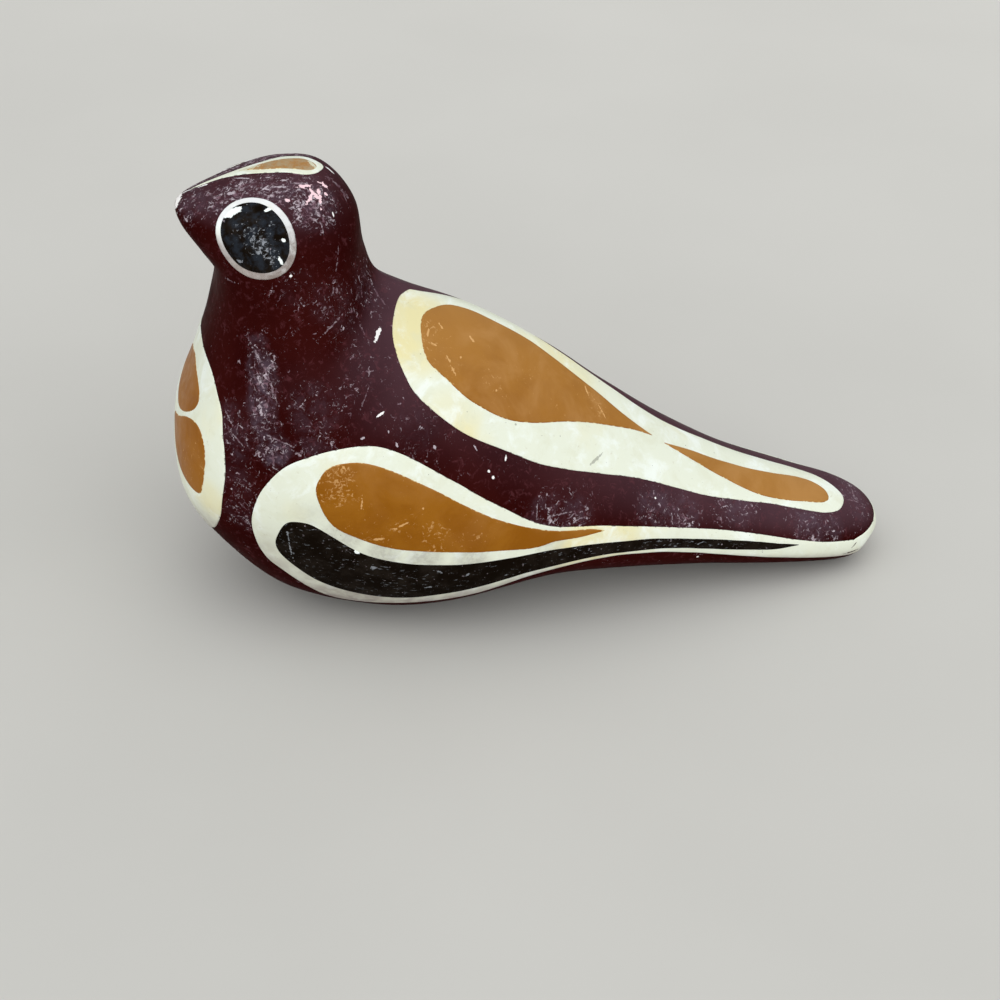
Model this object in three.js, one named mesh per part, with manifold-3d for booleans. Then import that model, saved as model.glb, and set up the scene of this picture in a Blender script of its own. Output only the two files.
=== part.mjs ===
// Hollow pottery bird: two press-moulded clay halves, the luting seam between them, and slip decoration.
// Millimetres, +Z up, beak toward -X, the bird's left side toward -Y, standing on z = 0.
import * as THREE from 'three';
import { mergeVertices } from 'three/addons/utils/BufferGeometryUtils.js';
import Module from 'manifold-3d';

const wasm = await Module();
wasm.setup();

// Driving dimensions of the clay
const LENGTH = 152; // beak tip to tail tip
const HEIGHT = 95.5; // table to crown
const WIDTH = 63; // across the widest section
const WALL = 4.5; // clay wall of the hollow halves
const SEAM = 0.6; // luting slip between the halves
const VENT_RADIUS = 1.5; // firing vent in the foot
const VENT_AHEAD = 5.5; // from the foot's middle toward the breast
const VENT_DEPTH = 2 * WALL; // to each side of the foot

// Cross sections from beak to tail, drawn in proportion and stretched to the length, height and width.
// Each runs from a point on the back line to one on the front and belly line, both on the mid-plane as
// [x, z], with its half width. A roof above 1 sharpens the ridge, a full below 1 flattens the breast, and
// low is the share of the section below its widest line.
const SECTIONS = [
  { back: [-75.7, 87.5], front: [-75.7, 87.5], half: 0, roof: 1, full: 1, low: 0.5 }, // beak tip
  { back: [-73.6, 89.5], front: [-74.6, 84], half: 5, roof: 1, full: 1, low: 0.5 },
  { back: [-67, 92], front: [-71, 79], half: 10.5, roof: 1.05, full: 1, low: 0.5 },
  { back: [-59.5, 94.3], front: [-68.5, 75.2], half: 15, roof: 1.05, full: 1, low: 0.5 }, // eye
  { back: [-53, 95.5], front: [-68.3, 70], half: 17.5, roof: 1.05, full: 0.95, low: 0.5 }, // crown
  { back: [-46.4, 94.6], front: [-69.4, 64.5], half: 18.5, roof: 1.05, full: 0.92, low: 0.5 },
  { back: [-41, 88], front: [-70.8, 59], half: 19.5, roof: 1.1, full: 0.88, low: 0.5 },
  { back: [-39, 78.5], front: [-73.4, 49.7], half: 22.5, roof: 1.25, full: 0.84, low: 0.5 }, // nape
  { back: [-35.8, 71.9], front: [-76.2, 40], half: 26, roof: 1.45, full: 0.8, low: 0.48 },
  { back: [-27.6, 67.4], front: [-75.5, 27], half: 29, roof: 1.5, full: 0.8, low: 0.46 }, // shoulder
  { back: [-15.5, 62.35], front: [-68.6, 15.8], half: 31, roof: 1.4, full: 0.85, low: 0.45 },
  { back: [-0.7, 53.9], front: [-56, 4], half: 31.5, roof: 1.45, full: 0.92, low: 0.45 }, // widest
  { back: [13.7, 43.3], front: [-34.5, -1.4], half: 29.5, roof: 1.4, full: 1, low: 0.45 }, // foot
  { back: [29, 32.7], front: [-8, 4.8], half: 25, roof: 1.35, full: 1.05, low: 0.45 },
  { back: [44, 24.6], front: [24, 3.8], half: 19.5, roof: 1.35, full: 1.05, low: 0.45 },
  { back: [57, 19.6], front: [52, 1], half: 15.5, roof: 1.3, full: 1, low: 0.45 }, // tail
  { back: [68, 15.8], front: [68.5, -0.3], half: 11.5, roof: 1.2, full: 1, low: 0.48 },
  { back: [75, 11.1], front: [72.2, 3.5], half: 7.5, roof: 1.05, full: 1, low: 0.5 },
  { back: [76.3, 5.7], front: [76.3, 5.7], half: 0, roof: 1, full: 1, low: 0.5 }, // tail tip
];
const LAST = SECTIONS.length - 1;
const FOOT_INDEX = 12; // section that stands on the table
const HOLLOW_FIRST_INDEX = 4; // sections that the hollow spans
const HOLLOW_LAST_INDEX = 14;
const HOLLOW_CAP_INDEX = 0.5; // sections more to the points that close it

// Driving dimensions of the slip
const SLIP = 0.4; // thickness of one layer
const SLIP_GAP = 0.1; // fit between layers
const EYE_LONG = 8.6; // half length of the oval eye
const EYE_BROAD = 7.15; // half breadth
const EYE_TURN = 148; // degrees from level to its length
const EYE_RIM = 1.15; // pale ring round the pupil
const EYE_INDEX = 3.1; // section of its centre
const LEFT_EYE_ANGLE = 70; // degrees round of its centre on the left
const RIGHT_EYE_ANGLE = 86; // and on the right
const EYE_INDEX_STEP = 0.5; // to each side, for its slope along the head
const EYE_ANGLE_STEP = 10; // to each side, for its slope round the head

// Outlines of the slip on the bird's left, as smooth runs that meet at the corners. A point is
// [section, degrees round from the ridge toward the left].
const UPPER_WING = [
  [
    [8.8, 6], [8.64, 14.5], [8.6, 23.5], [8.7, 33], [8.93, 40], [9.5, 49], [9.92, 52],
    [10.48, 53.5], [11, 52.5], [11.45, 51.5], [12.1, 47.5], [12.67, 44.5], [13.56, 45.5], [14.5, 44],
    [15.1, 46], [15.45, 47], [15.74, 42.5], [15.9, 27], [15.7, 11], [15.39, -5], [15, -11],
    [14.3, -10], [13.45, -1], [12.7, 6], [12.15, 4.5], [11.5, 1.5], [11.15, -1.5], [10.83, -8],
    [10.45, -14], [10.1, -15.5], [9.77, -13], [9.45, -9.5], [9.1, 0], [8.8, 6],
  ],
];
const UPPER_FRONT = [
  [
    [12.67, 22], [12.19, 18.5], [11.72, 14.5], [11.27, 12.5], [10.8, 8.5], [10.35, 6.5], [9.83, 5.5],
    [9.5, 8.5], [9.25, 16], [9.16, 21], [9.2, 28], [9.5, 38], [9.92, 41.5], [10.33, 44],
    [10.78, 44], [11.1, 41.5], [11.58, 34], [11.96, 29], [12.4, 24], [12.67, 22],
  ],
];
const UPPER_REAR = [
  [
    [12.79, 23], [13.21, 26], [13.72, 32], [14.24, 38], [14.6, 39.5], [15, 38.5], [15.39, 37],
    [15.53, 32.5], [15.51, 23], [15.32, 14.5], [15, 11.5], [14.53, 15], [13.69, 19], [13.2, 20],
    [12.79, 23],
  ],
];
const LOWER_WING = [
  [
    [15.96, 114], [15.57, 109.5], [15.1, 104.5], [14.6, 98.5], [14.16, 93.5], [13.85, 89.5], [13.55, 88],
    [13.23, 89], [13.05, 91], [12.87, 93.5], [12.57, 97], [12.4, 100], [12.28, 105.5], [12.16, 111],
    [12.03, 115], [11.83, 122], [11.68, 127], [11.4, 136], [11.19, 138], [10.87, 135.5], [10.45, 135],
    [10.23, 135.5], [10.04, 134], [9.86, 131.5], [9.42, 123.5], [9.02, 111.5], [8.84, 97.5], [8.95, 86.5],
    [9.2, 77.5], [9.51, 71], [9.94, 68], [10.7, 67], [11.37, 68], [11.98, 69.5], [12.65, 68], [13.6, 67.5],
    [14.17, 68.5], [14.7, 72.5], [15.32, 79], [15.96, 81],
  ],
  [[15.96, 81], [15.96, 114]],
];
const LOWER_OCHRE = [
  [
    [12.7, 70.5], [12.51, 69.5], [12.27, 70.5], [12.08, 71], [11.77, 71.5], [11.39, 72], [10.5, 72],
    [9.94, 74], [9.57, 77], [9.31, 84], [9.37, 89.5], [9.48, 93], [9.77, 97], [10.05, 99.5], [10.18, 99.5],
    [10.4, 98], [10.77, 94.5], [11.03, 91], [11.48, 85.5], [11.86, 81], [12.03, 79.5], [12.14, 78],
    [12.22, 76], [12.45, 74], [12.7, 70.5],
  ],
];
const LOWER_BLACK = [
  [
    [15.04, 81], [14.48, 77.5], [14, 76], [13.6, 75.5], [13.25, 76], [13.05, 77.5], [12.6, 78.5],
    [12.2, 80.5], [11.95, 84], [11.6, 89.5], [11.33, 94], [11.04, 98], [10.68, 101.5], [10.3, 103],
    [10.06, 104], [9.87, 105.5], [9.71, 110], [9.71, 113], [9.8, 118], [9.93, 123], [10.1, 126],
    [10.3, 127], [10.75, 126.5], [11.18, 124.5], [11.55, 119.5], [11.75, 113], [12.02, 103],
    [12.22, 96.5], [12.34, 93.5], [12.62, 91], [13, 88], [13.38, 85], [13.58, 84], [14.1, 86],
    [14.53, 86.5], [14.72, 86], [14.88, 83], [15.04, 81],
  ],
];
const CROWN = [
  [
    [0.95, -22], [1.5, -15], [2.03, -11.5], [2.68, -1], [3.2, 5.5], [3.75, 9.5], [4.33, 13],
    [4.65, 10.5], [4.87, 0], [4.68, -7], [4.4, -14], [3.9, -17.5], [3.12, -17.5], [2.4, -18],
    [1.7, -19.5], [0.95, -22],
  ],
];
const CROWN_OCHRE = [
  [
    [2.45, -12.6], [2.72, -7.5], [3.04, -1.6], [3.39, 2.6], [3.77, 5.4], [4.14, 7.6], [4.42, 8.8],
    [4.6, 6.5], [4.65, 2.5], [4.5, -5], [4.24, -9.8], [3.85, -11.2], [3.28, -12.3], [2.85, -12.4],
    [2.45, -12.6],
  ],
];
const BREAST = [
  [
    [6.05, 180], [6.1, 172], [6.25, 159.5], [6.5, 148.5], [6.95, 138], [7.5, 129], [8.23, 125.5],
    [8.77, 129.5], [9.3, 141], [9.62, 157], [9.75, 180],
  ],
  [
    [9.75, 180], [9.62, 203], [9.3, 219], [8.77, 230.5], [8.23, 234.5], [7.5, 231], [6.95, 222],
    [6.5, 211.5], [6.25, 200.5], [6.1, 188], [6.05, 180],
  ],
];
const BREAST_UPPER = [
  [
    [6.52, 180], [6.63, 171], [6.8, 162], [7.05, 156], [7.27, 156.5], [7.5, 166], [7.7, 180], [7.5, 194],
    [7.27, 203.5], [7.05, 204], [6.8, 198], [6.63, 189], [6.52, 180],
  ],
];
const BREAST_LOWER = [
  [
    [8.82, 147.5], [8.6, 142], [8.3, 139], [8, 139.5], [7.72, 144], [7.54, 152], [7.55, 163],
    [7.8, 175.5], [8.05, 183], [8.35, 178], [8.68, 159], [8.82, 147.5],
  ],
];
const TAIL_INDEX = 16; // section where the pale line round the tail begins
const TAIL_BAND = [
  [[TAIL_INDEX, 81], [16.75, 62], [17.15, 0], [16.75, -62], [TAIL_INDEX, -81]],
  [[TAIL_INDEX, -81], [TAIL_INDEX, -115]],
  [[TAIL_INDEX, -115], [16.8, -142], [17.5, 180], [16.8, 142], [TAIL_INDEX, 115]],
  [[TAIL_INDEX, 115], [TAIL_INDEX, 81]],
];

// The right wing's upper feather lies lower and slimmer than the left one
const RIGHT_ANGLE = 62; // degrees round that it closes up to
const RIGHT_BODY_SHARE = 0.45; // its breadth over the body, as a share of the left one's
const RIGHT_TAIL_SHARE = 0.26; // and over the tail
const RIGHT_BODY_INDEX = 12; // sections between which it slims
const RIGHT_TAIL_INDEX = 14;

// Directions that the outlines are laid onto the clay from
const UPPER_FROM = new THREE.Vector3(0, -0.6, 0.8).normalize();
const LOWER_FROM = new THREE.Vector3(0, -1, 0).normalize();
const CROWN_FROM = new THREE.Vector3(-0.3, 0, 1).normalize();
const BREAST_FROM = new THREE.Vector3(-1, 0, 0.1).normalize();
const TAIL_FROM = new THREE.Vector3(1, 0, 0).normalize();
const LAY_IN = 1; // how far an outline reaches under and over the clay it lies on
const LAY_OUT = 20;

// Fineness of the faceted solids
const RINGS_PER_SECTION = 2;
const SIDES = 24;
const OUTLINE_STEPS = 3;
const EYE_STEPS = 9;
const VENT_SIDES = 12;

// Clay and slip finish
const MAROON = 0x42191d;
const LUTING = 0x4a2226;
const CREAM = 0xe3e0c8;
const OCHRE = 0x9c661f;
const BLACK = 0x1b1614;
const CLAY_ROUGHNESS = 0.4;
const SLIP_ROUGHNESS = 0.45;

// Stretch from the drawn sections to the real size
const drawnLength = SECTIONS[LAST].back[0] - SECTIONS[0].back[0];
const drawnHeight = Math.max(...SECTIONS.map((s) => s.back[1]));
const drawnWidth = 2 * Math.max(...SECTIONS.map((s) => s.half));
const STRETCH = [LENGTH / drawnLength, HEIGHT / drawnHeight];
const ROOM = LENGTH + HEIGHT + WIDTH; // round the whole bird, for the trimming boxes

// Smooth value at place u along a list, with one more value before its start and after its end
function smooth(list, u, before, after) {
  const i = Math.min(Math.floor(u), LAST - 1);
  const t = u - i;
  const a = i === 0 ? before : list[i - 1];
  const b = list[i];
  const c = list[i + 1];
  const d = i + 2 > LAST ? after : list[i + 2];
  const square = 2 * a - 5 * b + 4 * c - d;
  const cube = 3 * b - a - 3 * c + d;
  return 0.5 * (2 * b + (c - a) * t + square * t * t + cube * t * t * t);
}

// One coordinate of the back or front line, which run into each other round the beak and the tail
function onLine(line, other, axis, u) {
  const list = SECTIONS.map((s) => s[line][axis]);
  const along = smooth(list, u, SECTIONS[1][other][axis], SECTIONS[LAST - 1][other][axis]);
  return along * STRETCH[axis];
}

function shapeOf(key, u) {
  const list = SECTIONS.map((s) => s[key]);
  return smooth(list, u, list[0], list[LAST]);
}

function halfWidth(u) {
  const list = SECTIONS.map((s) => (s.half * WIDTH) / drawnWidth);
  return Math.max(smooth(list, u, -list[1], -list[LAST - 1]), 0);
}

// The cross section at u, drawn in by a wall
function section(u, inset) {
  const back = new THREE.Vector2(onLine('back', 'front', 0, u), onLine('back', 'front', 1, u));
  const front = new THREE.Vector2(onLine('front', 'back', 0, u), onLine('front', 'back', 1, u));
  const step = back.clone().sub(front).normalize().multiplyScalar(inset);
  const half = halfWidth(u) - inset;
  const shape = { roof: shapeOf('roof', u), full: shapeOf('full', u), low: shapeOf('low', u) };
  return { back: back.sub(step), front: front.add(step), half, ...shape };
}

function pointOn(s, degrees) {
  const angle = THREE.MathUtils.degToRad(degrees);
  const up = Math.cos(angle);
  const side = Math.sin(angle);
  const sharp = s.full + (s.roof - s.full) * (0.5 + 0.5 * up);
  const waist = s.front.clone().lerp(s.back, s.low);
  const at = waist.clone().lerp(up > 0 ? s.back : s.front, Math.abs(up));
  return new THREE.Vector3(at.x, -s.half * Math.sign(side) * Math.abs(side) ** sharp, at.y);
}

function surfacePoint([u, degrees]) {
  return pointOn(section(u, 0), degrees);
}

// Closed faceted skin through rings of points, between one end point and another, alike on both sides
function closedSkin(first, rings, last) {
  const positions = [...first.toArray(), ...rings.flat().flatMap((p) => p.toArray()), ...last.toArray()];
  const end = rings.length * SIDES + 1;
  const at = (ring, side) => 1 + ring * SIDES + (side % SIDES);
  const faces = [];
  for (let j = 0; j < SIDES; j += 1) {
    faces.push(0, at(0, j + 1), at(0, j));
    faces.push(end, at(rings.length - 1, j), at(rings.length - 1, j + 1));
    for (let i = 0; i < rings.length - 1; i += 1) {
      const [a, b, c, d] = [at(i, j), at(i, j + 1), at(i + 1, j + 1), at(i + 1, j)];
      faces.push(...(j < SIDES / 2 ? [a, b, c, a, c, d] : [a, b, d, b, c, d]));
    }
  }
  const geometry = new THREE.BufferGeometry();
  geometry.setAttribute('position', new THREE.Float32BufferAttribute(positions, 3));
  geometry.setIndex(faces);
  geometry.computeVertexNormals();
  return geometry;
}

function ring(u, inset) {
  const s = section(u, inset);
  return Array.from({ length: SIDES }, (_, j) => pointOn(s, (360 * j) / SIDES));
}

function outerSkin() {
  const count = LAST * RINGS_PER_SECTION;
  const rings = Array.from({ length: count - 1 }, (_, i) => ring((i + 1) / RINGS_PER_SECTION, 0));
  return closedSkin(surfacePoint([0, 0]), rings, surfacePoint([LAST, 0]));
}

// The outer skin moved out along its own normals, so that every layer has the same facets
function skinAt(distance) {
  const geometry = outerSkin();
  const position = geometry.getAttribute('position');
  const normal = geometry.getAttribute('normal');
  for (let i = 0; i < position.count; i += 1) {
    position.setX(i, position.getX(i) + normal.getX(i) * distance);
    position.setY(i, position.getY(i) + normal.getY(i) * distance);
    position.setZ(i, position.getZ(i) + normal.getZ(i) * distance);
  }
  return solid(geometry);
}

function hollow() {
  const [from, to] = [HOLLOW_FIRST_INDEX, HOLLOW_LAST_INDEX];
  const count = Math.round((to - from) * RINGS_PER_SECTION);
  const rings = Array.from({ length: count + 1 }, (_, i) => ring(from + ((to - from) * i) / count, WALL));
  const middle = (u) => {
    const s = section(u, WALL);
    const at = s.front.clone().lerp(s.back, s.low);
    return new THREE.Vector3(at.x, 0, at.y);
  };
  return solid(closedSkin(middle(from - HOLLOW_CAP_INDEX), rings, middle(to + HOLLOW_CAP_INDEX)));
}

function solid(geometry) {
  const bare = geometry.clone();
  bare.deleteAttribute('normal');
  bare.deleteAttribute('uv');
  const merged = mergeVertices(bare);
  const vertProperties = new Float32Array(merged.getAttribute('position').array);
  const triVerts = new Uint32Array(merged.getIndex().array);
  return new wasm.Manifold(new wasm.Mesh({ numProp: 3, vertProperties, triVerts }));
}

function boxSolid(from, to) {
  const size = to.clone().sub(from);
  const geometry = new THREE.BoxGeometry(size.x, size.y, size.z);
  const middle = from.clone().add(to).multiplyScalar(0.5);
  return solid(geometry.translate(middle.x, middle.y, middle.z));
}

function mesh(name, body, color, roughness) {
  const data = body.getMesh();
  const geometry = new THREE.BufferGeometry();
  geometry.setAttribute('position', new THREE.BufferAttribute(new Float32Array(data.vertProperties), 3));
  geometry.setIndex(new THREE.BufferAttribute(new Uint32Array(data.triVerts), 1));
  geometry.computeVertexNormals();
  const made = new THREE.Mesh(geometry, new THREE.MeshStandardMaterial({ color, roughness, metalness: 0 }));
  made.name = name;
  return made;
}

// Solid swept along a direction from an outline of points on the clay
function sweep(runs, direction, floor) {
  const across = new THREE.Vector3(-direction.y, direction.x, 0).normalize();
  const over = direction.clone().cross(across);
  const outline = [];
  let low = Infinity;
  let high = -Infinity;
  for (const run of runs) {
    const flat = run.map((p) => new THREE.Vector3(p.dot(across), p.dot(over), 0));
    const curve = new THREE.CatmullRomCurve3(flat);
    const points = curve.getPoints(OUTLINE_STEPS * (run.length - 1)).slice(0, -1);
    outline.push(...points.map((p) => new THREE.Vector2(p.x, p.y)));
    low = Math.min(low, ...run.map((p) => p.dot(direction)));
    high = Math.max(high, ...run.map((p) => p.dot(direction)));
  }
  const start = floor ?? low - LAY_IN;
  const depth = high + LAY_OUT - start;
  const geometry = new THREE.ExtrudeGeometry(new THREE.Shape(outline), { depth, bevelEnabled: false });
  geometry.translate(0, 0, start);
  geometry.applyMatrix4(new THREE.Matrix4().makeBasis(across, over, direction));
  return solid(geometry);
}

function sweepOutline(runs, direction, floor) {
  return sweep(runs.map((run) => run.map(surfacePoint)), direction, floor);
}

// Runs of an outline as the right wing has them
function onRight(runs) {
  const [from, to] = [RIGHT_BODY_INDEX, RIGHT_TAIL_INDEX];
  return runs.map((run) =>
    run.map(([u, degrees]) => {
      const toTail = (THREE.MathUtils.clamp(u, from, to) - from) / (to - from);
      const share = THREE.MathUtils.lerp(RIGHT_BODY_SHARE, RIGHT_TAIL_SHARE, toTail);
      return [u, (RIGHT_ANGLE - degrees) * share - RIGHT_ANGLE];
    }),
  );
}

// Oval that faces straight out of the head at an angle round it, on the left
function eyeSweep(angleRound, inset) {
  const long = EYE_LONG - inset;
  const broad = EYE_BROAD - inset;
  const near = (fore, turn) => surfacePoint([EYE_INDEX + fore, angleRound + turn]);
  const middle = near(0, 0);
  const along = near(EYE_INDEX_STEP, 0).sub(near(-EYE_INDEX_STEP, 0));
  const round = near(0, EYE_ANGLE_STEP).sub(near(0, -EYE_ANGLE_STEP));
  const direction = round.cross(along).normalize();
  const across = new THREE.Vector3(-direction.y, direction.x, 0).normalize();
  const over = direction.clone().cross(across);
  const oval = Array.from({ length: EYE_STEPS + 1 }, (_, i) => {
    const angle = (2 * Math.PI * i) / EYE_STEPS;
    const at = new THREE.Vector2(long * Math.cos(angle), broad * Math.sin(angle));
    at.rotateAround(new THREE.Vector2(), THREE.MathUtils.degToRad(EYE_TURN));
    return middle.clone().addScaledVector(across, at.x).addScaledVector(over, at.y);
  });
  return sweep([oval], direction, middle.dot(direction) - long);
}

// Clay halves and seam, flat on the table
const aboveTable = boxSolid(new THREE.Vector3(-ROOM, -ROOM, 0), new THREE.Vector3(ROOM, ROOM, ROOM));
const vent = new THREE.CylinderGeometry(VENT_RADIUS, VENT_RADIUS, 2 * VENT_DEPTH, VENT_SIDES);
vent.rotateX(Math.PI / 2).translate(onLine('front', 'back', 0, FOOT_INDEX) - VENT_AHEAD, 0, 0);
const clay = skinAt(0).subtract(hollow()).intersect(aboveTable).subtract(solid(vent));

// Everything between two planes that stand along the bird
function between(from, to) {
  return boxSolid(new THREE.Vector3(-ROOM, from, -ROOM), new THREE.Vector3(ROOM, to, ROOM));
}

const group = new THREE.Group();
const toSeam = SEAM / 2;
group.add(mesh('body_left_half', clay.intersect(between(-ROOM, -toSeam)), MAROON, CLAY_ROUGHNESS));
group.add(mesh('body_right_half', clay.intersect(between(toSeam, ROOM)), MAROON, CLAY_ROUGHNESS));
group.add(mesh('luting_seam', clay.intersect(between(-toSeam, toSeam)), LUTING, CLAY_ROUGHNESS));

// Slip layers over the clay: pale first, colour on it
const paleLayer = skinAt(SLIP_GAP + SLIP).subtract(skinAt(SLIP_GAP));
const colourLayer = skinAt(2 * SLIP_GAP + 2 * SLIP).subtract(skinAt(2 * SLIP_GAP + SLIP));

function mirrored(body) {
  const data = body.getMesh();
  const vertProperties = data.vertProperties.map((value, i) => (i % 3 === 1 ? -value : value));
  const triVerts = data.triVerts.slice().reverse();
  return new wasm.Manifold(new wasm.Mesh({ numProp: 3, vertProperties, triVerts }));
}

function addPair(name, layer, cutter, color) {
  const left = layer.intersect(cutter);
  group.add(mesh(`${name}_left`, left, color, SLIP_ROUGHNESS));
  group.add(mesh(`${name}_right`, mirrored(left), color, SLIP_ROUGHNESS));
}

// An upper feather's layer on the left, and the lower and slimmer one on the right
function addFeathers(name, layer, runs, color) {
  const fromRight = UPPER_FROM.clone().setY(-UPPER_FROM.y);
  addSingle(`${name}_left`, layer, sweepOutline(runs, UPPER_FROM), color);
  addSingle(`${name}_right`, layer, sweepOutline(onRight(runs), fromRight), color);
}

function addSingle(name, layer, cutter, color) {
  group.add(mesh(name, layer.intersect(cutter), color, SLIP_ROUGHNESS));
}

function addEyes(name, layer, inset, color) {
  const left = layer.intersect(eyeSweep(LEFT_EYE_ANGLE, inset));
  const right = mirrored(layer.intersect(eyeSweep(RIGHT_EYE_ANGLE, inset)));
  group.add(mesh(`${name}_left`, left, color, SLIP_ROUGHNESS));
  group.add(mesh(`${name}_right`, right, color, SLIP_ROUGHNESS));
}

addSingle('crown_cream', paleLayer, sweepOutline(CROWN, CROWN_FROM), CREAM);
addSingle('crown_ochre', colourLayer, sweepOutline(CROWN_OCHRE, CROWN_FROM), OCHRE);
addEyes('eye_white', paleLayer, 0, CREAM);
addEyes('eye_pupil', colourLayer, EYE_RIM, BLACK);
addSingle('breast_cream', paleLayer, sweepOutline(BREAST, BREAST_FROM), CREAM);
addSingle('breast_ochre_upper', colourLayer, sweepOutline(BREAST_UPPER, BREAST_FROM), OCHRE);
addSingle('breast_ochre_lower', colourLayer, sweepOutline(BREAST_LOWER, BREAST_FROM), OCHRE);
addFeathers('upper_wing_cream', paleLayer, UPPER_WING, CREAM);
addFeathers('upper_wing_ochre_front', colourLayer, UPPER_FRONT, OCHRE);
addFeathers('upper_wing_ochre_rear', colourLayer, UPPER_REAR, OCHRE);
addPair('lower_wing_cream', paleLayer, sweepOutline(LOWER_WING, LOWER_FROM), CREAM);
addPair('lower_wing_ochre', colourLayer, sweepOutline(LOWER_OCHRE, LOWER_FROM), OCHRE);
addPair('lower_wing_black', colourLayer, sweepOutline(LOWER_BLACK, LOWER_FROM), BLACK);
const tailFloor = surfacePoint([TAIL_INDEX, 90]).dot(TAIL_FROM);
addSingle('tail_band_cream', paleLayer, sweepOutline(TAIL_BAND, TAIL_FROM, tailFloor), CREAM);

export default group;
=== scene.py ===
"""Pottery bird figurine: burnished maroon clay painted with cream, ochre and black slip."""

import math

import bpy
import numpy as np
from mathutils import Matrix, Vector, noise
from mathutils.bvhtree import BVHTree
from mathutils.geometry import delaunay_2d_cdt


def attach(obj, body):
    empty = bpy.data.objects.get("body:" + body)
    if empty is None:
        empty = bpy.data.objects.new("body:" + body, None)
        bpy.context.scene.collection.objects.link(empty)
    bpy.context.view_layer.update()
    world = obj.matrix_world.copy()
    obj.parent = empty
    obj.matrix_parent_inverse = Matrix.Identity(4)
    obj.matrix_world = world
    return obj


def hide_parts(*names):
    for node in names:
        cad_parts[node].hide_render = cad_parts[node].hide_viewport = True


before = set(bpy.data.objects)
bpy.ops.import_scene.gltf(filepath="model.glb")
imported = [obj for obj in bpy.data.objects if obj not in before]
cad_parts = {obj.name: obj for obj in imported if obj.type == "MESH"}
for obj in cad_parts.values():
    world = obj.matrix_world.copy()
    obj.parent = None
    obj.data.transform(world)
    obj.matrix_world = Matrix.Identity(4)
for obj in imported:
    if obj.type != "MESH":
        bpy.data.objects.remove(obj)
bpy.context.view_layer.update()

MM = 0.001  # the sizes below are in millimetres

# Cross sections of the clay from beak to tail: a point of the back line (x, z), a point of the front and
# belly line (x, z), the half width, how sharp the ridge is, how full the front is, and the share below
# the widest line
SECTIONS = np.array([
    (-75.7, 87.5, -75.7, 87.5, 0, 1, 1, 0.5),  # beak tip
    (-73.6, 89.5, -74.6, 84, 5, 1, 1, 0.5),
    (-67, 92, -71, 79, 10.5, 1.05, 1, 0.5),
    (-59.5, 94.3, -68.5, 75.2, 15, 1.05, 1, 0.5),  # eye
    (-53, 95.5, -68.3, 70, 17.5, 1.05, 0.95, 0.5),  # crown
    (-46.4, 94.6, -69.4, 64.5, 18.5, 1.05, 0.92, 0.5),
    (-41, 88, -70.8, 59, 19.5, 1.1, 0.88, 0.5),
    (-39, 78.5, -73.4, 49.7, 22.5, 1.25, 0.84, 0.5),  # nape
    (-35.8, 71.9, -76.2, 40, 26, 1.45, 0.8, 0.48),
    (-27.6, 67.4, -75.5, 27, 29, 1.5, 0.8, 0.46),  # shoulder
    (-15.5, 62.35, -68.6, 15.8, 31, 1.4, 0.85, 0.45),
    (-0.7, 53.9, -56, 4, 31.5, 1.45, 0.92, 0.45),  # widest
    (13.7, 43.3, -34.5, -1.4, 29.5, 1.4, 1, 0.45),  # foot
    (29, 32.7, -8, 4.8, 25, 1.35, 1.05, 0.45),
    (44, 24.6, 24, 3.8, 19.5, 1.35, 1.05, 0.45),
    (57, 19.6, 52, 1, 15.5, 1.3, 1, 0.45),  # tail
    (68, 15.8, 68.5, -0.3, 11.5, 1.2, 1, 0.48),
    (75, 11.1, 72.2, 3.5, 7.5, 1.05, 1, 0.5),
    (76.3, 5.7, 76.3, 5.7, 0, 1, 1, 0.5),  # tail tip
], float)
LAST = len(SECTIONS) - 1
RINGS_PER_SECTION = 14
SIDES = 192
FOOT_EASE = 0.4  # how softly the clay flattens onto the table
LUMP = 0.1  # hand-made unevenness of the clay
LUMP_LENGTH = 11

# Outlines of the slip on the bird's left, as smooth runs that meet at corners: points as
# (section, degrees round from the ridge toward the left)
UPPER_WING = [[
    (8.8, 6), (8.64, 14.5), (8.6, 23.5), (8.7, 33), (8.93, 40), (9.5, 49), (9.92, 52),
    (10.48, 53.5), (11, 52.5), (11.45, 51.5), (12.1, 47.5), (12.67, 44.5), (13.56, 45.5), (14.5, 44),
    (15.1, 46), (15.45, 47), (15.74, 42.5), (15.9, 27), (15.7, 11), (15.39, -5), (15, -11),
    (14.3, -10), (13.45, -1), (12.7, 6), (12.15, 4.5), (11.5, 1.5), (11.15, -1.5), (10.83, -8),
    (10.45, -14), (10.1, -15.5), (9.77, -13), (9.45, -9.5), (9.1, 0), (8.8, 6),
]]
UPPER_FRONT = [[
    (12.67, 22), (12.19, 18.5), (11.72, 14.5), (11.27, 12.5), (10.8, 8.5), (10.35, 6.5), (9.83, 5.5),
    (9.5, 8.5), (9.25, 16), (9.16, 21), (9.2, 28), (9.5, 38), (9.92, 41.5), (10.33, 44),
    (10.78, 44), (11.1, 41.5), (11.58, 34), (11.96, 29), (12.4, 24), (12.67, 22),
]]
UPPER_REAR = [[
    (12.79, 23), (13.21, 26), (13.72, 32), (14.24, 38), (14.6, 39.5), (15, 38.5), (15.39, 37),
    (15.53, 32.5), (15.51, 23), (15.32, 14.5), (15, 11.5), (14.53, 15), (13.69, 19), (13.2, 20),
    (12.79, 23),
]]
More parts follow.
